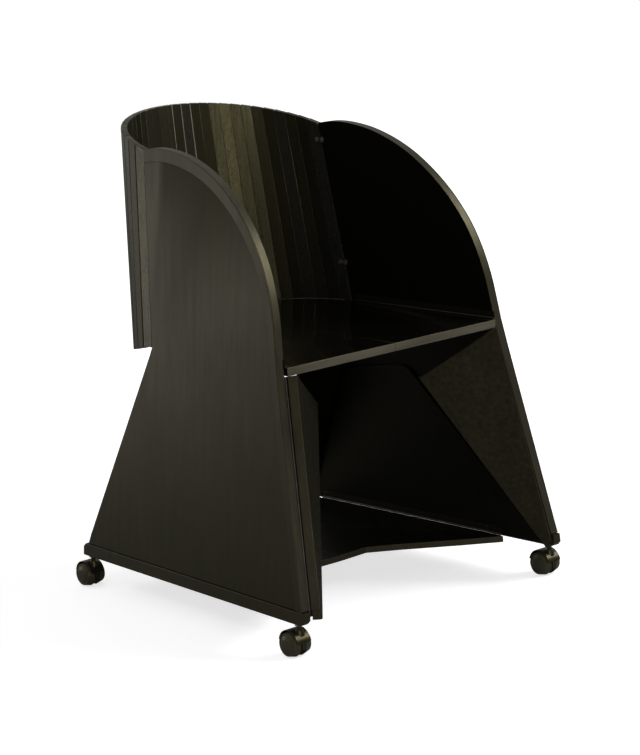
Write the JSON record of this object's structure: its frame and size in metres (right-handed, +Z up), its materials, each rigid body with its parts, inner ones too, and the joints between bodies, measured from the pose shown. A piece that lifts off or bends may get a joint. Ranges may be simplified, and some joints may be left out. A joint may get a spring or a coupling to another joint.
{
  "type": "folding armchair",
  "caption": "Folding armchair with leaning plywood sides, a seat and low shelf that fold up the middle, a round back of narrow slats, front flaps and twin wheel castors.",
  "frame": {"origin": "on the floor, under the middle of the chair's length and width", "axes": "+Z up, +X to the sitter's left, -Y is the open front, the two halves mirror each other across X zero"},
  "size_m": [0.6054, 0.6488, 0.8136],
  "materials": {
    "wood": "black stained and lacquered plywood with an olive brown tint, satin",
    "edge": "stained wood edge, worn a little paler, satin",
    "slats": "black stained slats with a soft sheen",
    "steel": "darkened steel, satin",
    "castor": "dark moulded plastic, satin"
  },
  "bodies": {
    "side_left": {"side_panel_left": "wood", "edge_band_left": "edge", "rail_left": "edge", "inner_board_left": "wood", "rear_stile_left": "wood", "seat_hinge_side_leaf_left": "steel", "shelf_hinge_side_leaf_left": "steel", "flap_hinge_side_leaf_left": "steel", "back_plate_top_left": "steel", "back_plate_low_left": "steel", "slats_left_1": "slats"},
    "seat_left": {"seat_left": "wood", "seat_hinge_seat_leaf_left": "steel", "seat_centre_leaf_left": "steel"},
    "shelf_left": {"shelf_left": "wood", "shelf_hinge_shelf_leaf_left": "steel", "shelf_centre_leaf_left": "steel"},
    "flap_left": {"front_flap_left": "wood", "flap_hinge_flap_leaf_left": "steel"},
    "slats_left_2": {"slats_left_2": "slats"},
    "slats_left_3": {"slats_left_3": "slats"},
    "slats_left_4": {"slats_left_4": "slats"},
    "slats_left_5": {"slats_left_5": "slats"},
    "slats_left_6": {"slats_left_6": "slats"},
    "slats_left_7": {"slats_left_7": "slats"},
    "slats_left_8": {"slats_left_8": "slats"},
    "castor_front_left": {"castor_front_left_body": "castor"},
    "wheels_front_left": {"castor_front_left_wheels": "castor"},
    "castor_rear_left": {"castor_rear_left_body": "castor"},
    "wheels_rear_left": {"castor_rear_left_wheels": "castor"},
    "side_right": {"side_panel_right": "wood", "edge_band_right": "edge", "rail_right": "edge", "inner_board_right": "wood", "rear_stile_right": "wood", "seat_hinge_side_leaf_right": "steel", "shelf_hinge_side_leaf_right": "steel", "flap_hinge_side_leaf_right": "steel", "back_plate_top_right": "steel", "back_plate_low_right": "steel", "slats_right_1": "slats"},
    "seat_right": {"seat_right": "wood", "seat_hinge_seat_leaf_right": "steel", "seat_centre_leaf_right": "steel"},
    "shelf_right": {"shelf_right": "wood", "shelf_hinge_shelf_leaf_right": "steel", "shelf_centre_leaf_right": "steel"},
    "flap_right": {"front_flap_right": "wood", "flap_hinge_flap_leaf_right": "steel"},
    "slats_right_2": {"slats_right_2": "slats"},
    "slats_right_3": {"slats_right_3": "slats"},
    "slats_right_4": {"slats_right_4": "slats"},
    "slats_right_5": {"slats_right_5": "slats"},
    "slats_right_6": {"slats_right_6": "slats"},
    "slats_right_7": {"slats_right_7": "slats"},
    "slats_right_8": {"slats_right_8": "slats"},
    "castor_front_right": {"castor_front_right_body": "castor"},
    "wheels_front_right": {"castor_front_right_wheels": "castor"},
    "castor_rear_right": {"castor_rear_right_body": "castor"},
    "wheels_rear_right": {"castor_rear_right_wheels": "castor"}
  },
  "joints": [
    {"name": "seat_fold_left", "type": "hinge", "parent": "side_left", "child": "seat_left", "pos_m": [-0.22942, -0.24346, 0.4514], "axis": [-0.0436, -0.9991, 0], "range_deg": [0, 72]},
    {"name": "seat_fold_centre", "type": "hinge", "parent": "seat_left", "child": "seat_right", "pos_m": [0, -0.14646, 0.4335], "axis": [0, 1, 0], "range_deg": [0, 144]},
    {"name": "seat_fold_right", "type": "hinge", "parent": "seat_right", "child": "side_right", "pos_m": [0.22942, -0.24346, 0.4514], "axis": [0.0436, -0.9991, 0], "range_deg": [0, 72]},
    {"name": "shelf_fold_left", "type": "hinge", "parent": "side_left", "child": "shelf_left", "pos_m": [-0.25924, -0.15736, 0.0614], "axis": [-0.0436, -0.9991, 0], "range_deg": [0, 66]},
    {"name": "shelf_fold_centre", "type": "hinge", "parent": "shelf_left", "child": "shelf_right", "pos_m": [0, 0.05354, 0.0463], "axis": [0, 1, 0], "range_deg": [0, 132]},
    {"name": "flap_swing_left", "type": "hinge", "parent": "side_left", "child": "flap_left", "pos_m": [-0.23156, -0.24357, 0.42973], "axis": [0.1049, 0.1905, 0.9761], "range_deg": [0, 44]},
    {"name": "flap_swing_right", "type": "hinge", "parent": "side_right", "child": "flap_right", "pos_m": [0.23156, -0.24357, 0.42973], "axis": [0.1049, -0.1905, -0.9761], "range_deg": [0, 44]},
    {"name": "slats_turn_left_2", "type": "hinge", "parent": "side_left", "child": "slats_left_2", "pos_m": [-0.19873, 0.14556, 0.60673], "axis": [0.0968, 0.0799, 0.9921], "range_deg": [0, 16.8]},
    {"name": "slats_turn_left_3", "type": "hinge", "parent": "slats_left_2", "child": "slats_left_3", "pos_m": [-0.18519, 0.1889, 0.6071], "axis": [0.0852, 0.0754, 0.9935], "range_deg": [0, 16.3]},
    {"name": "slats_turn_left_4", "type": "hinge", "parent": "slats_left_3", "child": "slats_left_4", "pos_m": [-0.16235, 0.22535, 0.60741], "axis": [0.0713, 0.072, 0.9949], "range_deg": [0, 12]},
    {"name": "slats_turn_left_5", "type": "hinge", "parent": "slats_left_4", "child": "slats_left_5", "pos_m": [-0.13384, 0.25375, 0.60765], "axis": [0.0568, 0.0696, 0.996], "range_deg": [0, 11.9]},
    {"name": "slats_turn_left_6", "type": "hinge", "parent": "slats_left_5", "child": "slats_left_6", "pos_m": [-0.10012, 0.27572, 0.60784], "axis": [-0.0414, -0.0678, -0.9968], "range_deg": [0, 12.6]},
    {"name": "slats_turn_left_7", "type": "hinge", "parent": "slats_left_6", "child": "slats_left_7", "pos_m": [-0.06502, 0.29008, 0.60796], "axis": [-0.0265, -0.0667, -0.9974], "range_deg": [0, 12.2]},
    {"name": "slats_turn_left_8", "type": "hinge", "parent": "slats_left_7", "child": "slats_left_8", "pos_m": [-0.02754, 0.29813, 0.60803], "axis": [-0.0111, -0.0661, -0.9977], "range_deg": [0, 21.7]},
    {"name": "slats_turn_right_2", "type": "hinge", "parent": "side_right", "child": "slats_right_2", "pos_m": [0.19873, 0.14556, 0.60673], "axis": [0.0968, -0.0799, -0.9921], "range_deg": [0, 16.8]},
    {"name": "slats_turn_right_3", "type": "hinge", "parent": "slats_right_2", "child": "slats_right_3", "pos_m": [0.18519, 0.1889, 0.6071], "axis": [0.0852, -0.0754, -0.9935], "range_deg": [0, 16.3]},
    {"name": "slats_turn_right_4", "type": "hinge", "parent": "slats_right_3", "child": "slats_right_4", "pos_m": [0.16235, 0.22535, 0.60741], "axis": [0.0713, -0.072, -0.9949], "range_deg": [0, 12]},
    {"name": "slats_turn_right_5", "type": "hinge", "parent": "slats_right_4", "child": "slats_right_5", "pos_m": [0.13384, 0.25375, 0.60765], "axis": [0.0568, -0.0696, -0.996], "range_deg": [0, 11.9]},
    {"name": "slats_turn_right_6", "type": "hinge", "parent": "slats_right_5", "child": "slats_right_6", "pos_m": [0.10012, 0.27572, 0.60784], "axis": [-0.0414, 0.0678, 0.9968], "range_deg": [0, 12.6]},
    {"name": "slats_turn_right_7", "type": "hinge", "parent": "slats_right_6", "child": "slats_right_7", "pos_m": [0.06502, 0.29008, 0.60796], "axis": [-0.0265, 0.0667, 0.9974], "range_deg": [0, 12.2]},
    {"name": "slats_turn_right_8", "type": "hinge", "parent": "slats_right_7", "child": "slats_right_8", "pos_m": [0.02754, 0.29813, 0.60803], "axis": [-0.0111, 0.0661, 0.9977], "range_deg": [0, 21.7]},
    {"name": "castor_swivel_front_left", "type": "hinge", "parent": "side_left", "child": "castor_front_left", "pos_m": [-0.28194, -0.29946, 0.055], "axis": [0, 0, 1], "continuous": true},
    {"name": "wheels_roll_front_left", "type": "hinge", "parent": "castor_front_left", "child": "wheels_front_left", "pos_m": [-0.28194, -0.28746, 0.0215], "axis": [1, 0, 0], "continuous": true},
    {"name": "castor_swivel_rear_left", "type": "hinge", "parent": "side_left", "child": "castor_rear_left", "pos_m": [-0.25639, 0.28654, 0.055], "axis": [0, 0, 1], "continuous": true},
    {"name": "wheels_roll_rear_left", "type": "hinge", "parent": "castor_rear_left", "child": "wheels_rear_left", "pos_m": [-0.25639, 0.29854, 0.0215], "axis": [1, 0, 0], "continuous": true},
    {"name": "castor_swivel_front_right", "type": "hinge", "parent": "side_right", "child": "castor_front_right", "pos_m": [0.28194, -0.29946, 0.055], "axis": [0, 0, 1], "continuous": true},
    {"name": "wheels_roll_front_right", "type": "hinge", "parent": "castor_front_right", "child": "wheels_front_right", "pos_m": [0.28194, -0.28746, 0.0215], "axis": [1, 0, 0], "continuous": true},
    {"name": "castor_swivel_rear_right", "type": "hinge", "parent": "side_right", "child": "castor_rear_right", "pos_m": [0.25639, 0.28654, 0.055], "axis": [0, 0, 1], "continuous": true},
    {"name": "wheels_roll_rear_right", "type": "hinge", "parent": "castor_rear_right", "child": "wheels_rear_right", "pos_m": [0.25639, 0.29854, 0.0215], "axis": [1, 0, 0], "continuous": true}
  ],
  "couplings": [
    {"joint": "seat_fold_centre", "follows": "seat_fold_left", "ratio": 2},
    {"joint": "seat_fold_right", "follows": "seat_fold_left", "ratio": 1},
    {"joint": "shelf_fold_left", "follows": "seat_fold_left", "ratio": 0.9107},
    {"joint": "shelf_fold_centre", "follows": "seat_fold_left", "ratio": 1.8214},
    {"joint": "flap_swing_left", "follows": "seat_fold_left", "ratio": 0.611},
    {"joint": "flap_swing_right", "follows": "seat_fold_left", "ratio": 0.611},
    {"joint": "slats_turn_left_2", "follows": "seat_fold_left", "ratio": 0.2331},
    {"joint": "slats_turn_left_3", "follows": "seat_fold_left", "ratio": 0.2256},
    {"joint": "slats_turn_left_4", "follows": "seat_fold_left", "ratio": 0.1663},
    {"joint": "slats_turn_left_5", "follows": "seat_fold_left", "ratio": 0.1647},
    {"joint": "slats_turn_left_6", "follows": "seat_fold_left", "ratio": 0.1743},
    {"joint": "slats_turn_left_7", "follows": "seat_fold_left", "ratio": 0.169},
    {"joint": "slats_turn_left_8", "follows": "seat_fold_left", "ratio": 0.3004},
    {"joint": "slats_turn_right_2", "follows": "seat_fold_left", "ratio": 0.2331},
    {"joint": "slats_turn_right_3", "follows": "seat_fold_left", "ratio": 0.2256},
    {"joint": "slats_turn_right_4", "follows": "seat_fold_left", "ratio": 0.1663},
    {"joint": "slats_turn_right_5", "follows": "seat_fold_left", "ratio": 0.1647},
    {"joint": "slats_turn_right_6", "follows": "seat_fold_left", "ratio": 0.1743},
    {"joint": "slats_turn_right_7", "follows": "seat_fold_left", "ratio": 0.169},
    {"joint": "slats_turn_right_8", "follows": "seat_fold_left", "ratio": 0.3004}
  ]
}
